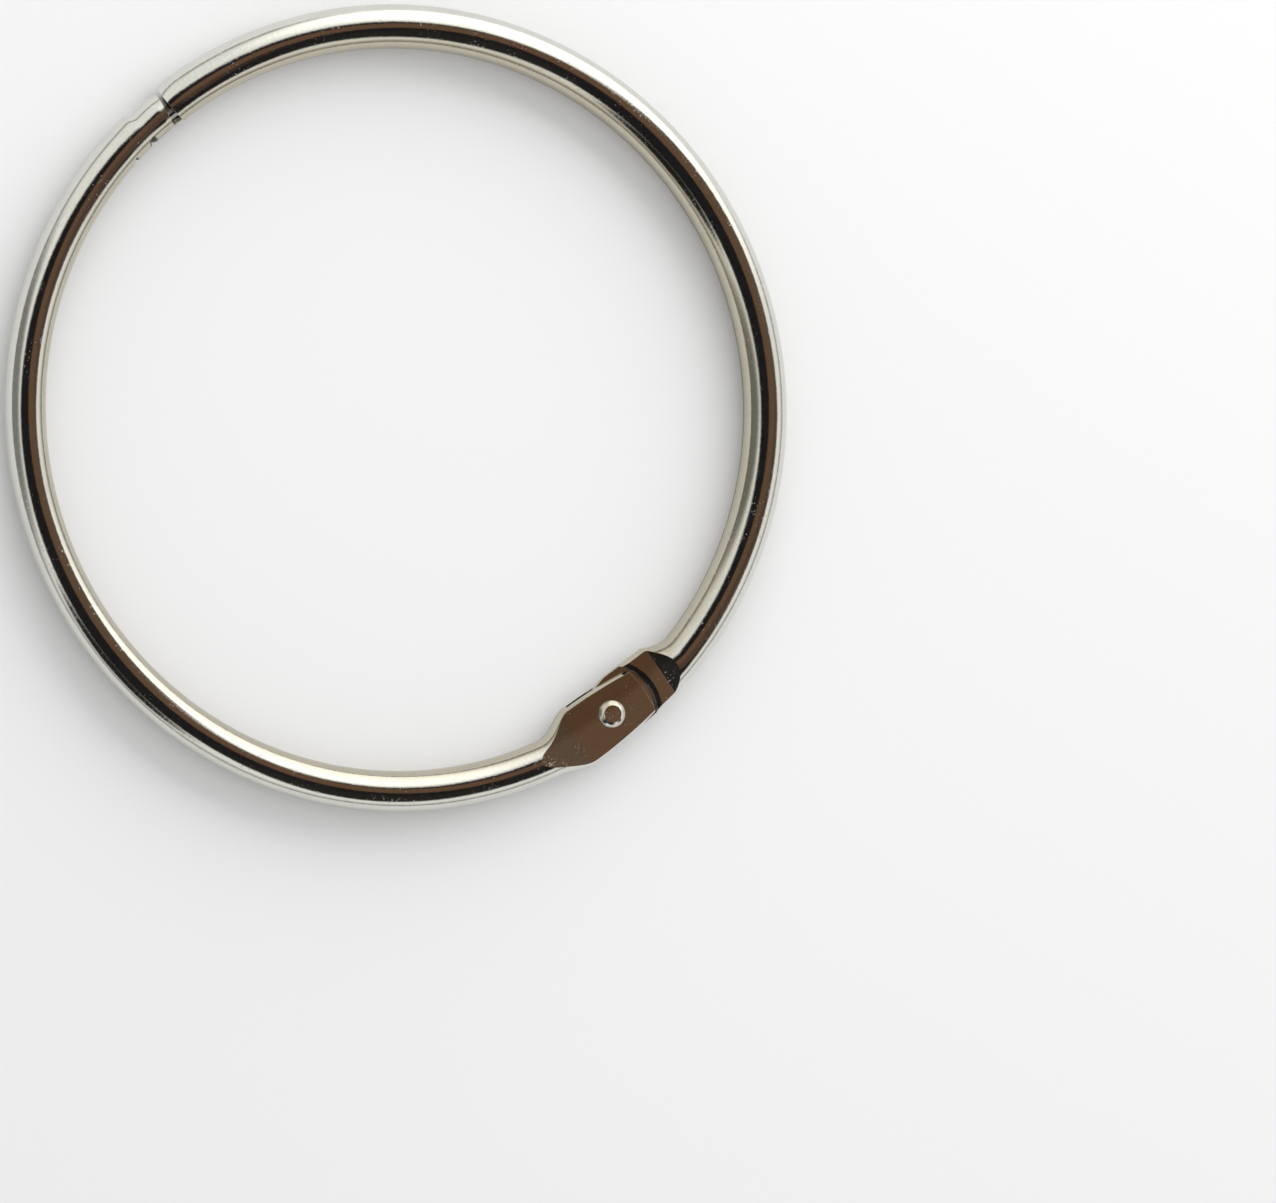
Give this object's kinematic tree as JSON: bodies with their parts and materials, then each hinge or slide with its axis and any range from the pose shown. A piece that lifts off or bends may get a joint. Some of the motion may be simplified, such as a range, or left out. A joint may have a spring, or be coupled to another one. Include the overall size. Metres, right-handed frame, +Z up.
{
  "type": "binder ring",
  "caption": "Hinged metal binder ring: two rolled tube halves that turn on a rivet and snap shut, for holding punched sheets.",
  "frame": {"origin": "on the floor plane that the closed ring lies on, at the ring's centre", "axes": "+Z up, along the ring's axis; the rivet is on the -Y side and the snap joint on the +Y side; the forked half is on -X"},
  "size_m": [0.0762, 0.0767, 0.0042],
  "materials": {
    "nickel_tube": "bright nickel plate, lightly scratched",
    "nickel_rivet": "bright nickel plate, peened",
    "nickel_plug": "dull drawn wire"
  },
  "bodies": {
    "fork": {"fork_half": "nickel_tube", "hinge_rivet": "nickel_rivet", "snap_plug": "nickel_plug"},
    "tongue": {"tongue_half": "nickel_tube"}
  },
  "joints": [
    {"name": "ring_hinge", "type": "hinge", "parent": "fork", "child": "tongue", "pos_m": [0, -0.0354, 0.0021], "axis": [0, 0, -1], "range_deg": [0, 96]}
  ]
}
